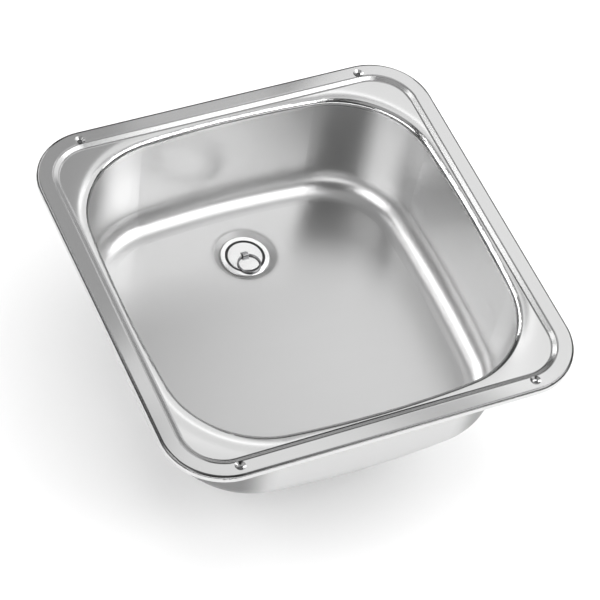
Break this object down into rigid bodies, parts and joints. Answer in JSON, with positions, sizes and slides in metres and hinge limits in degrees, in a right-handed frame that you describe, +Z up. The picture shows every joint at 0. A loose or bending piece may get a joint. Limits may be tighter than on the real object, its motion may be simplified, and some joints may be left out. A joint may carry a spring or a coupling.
{
  "type": "inset sink",
  "caption": "Near-square stainless steel inset sink bowl with a stepped, screw-down rim, a threaded waste with a hose tail, and a lift-out plug with a folding pull ring.",
  "frame": {"origin": "middle of the worktop cut-out, on the worktop surface that carries the rim seal", "axes": "+X to the right along the front edge, +Y to the back edge by the drain, +Z up out of the bowl"},
  "size_m": [0.42, 0.43, 0.2163],
  "materials": {
    "bowl_steel": "satin to bright drawn steel",
    "polished_steel": "polished",
    "fastener_steel": "plain",
    "seal_rubber": "matte",
    "foam": "matte closed-cell foam",
    "waste_plastic": "moulded, fine grain"
  },
  "bodies": {
    "sink": {"sink_bowl": "bowl_steel", "rim_seal": "foam", "waste_flange": "polished_steel", "flange_gasket": "seal_rubber", "lower_gasket": "seal_rubber", "slip_washer": "waste_plastic", "backnut": "waste_plastic", "tail_washer": "seal_rubber", "hose_tail": "waste_plastic", "coupling_nut": "waste_plastic"},
    "plug": {"plug_stopper": "seal_rubber", "plug_cap": "polished_steel", "plug_washer": "fastener_steel", "plug_nut": "fastener_steel", "ring_saddle": "polished_steel"},
    "ring": {"pull_ring": "polished_steel"}
  },
  "joints": [
    {"name": "plug_lift", "type": "slide", "parent": "sink", "child": "plug", "axis": [0, 0, 1], "range_m": [0, 0.08]},
    {"name": "ring_fold", "type": "hinge", "parent": "plug", "child": "ring", "pos_m": [0, 0.1084, -0.1174], "axis": [-1, 0, 0], "range_deg": [0, 180]}
  ]
}
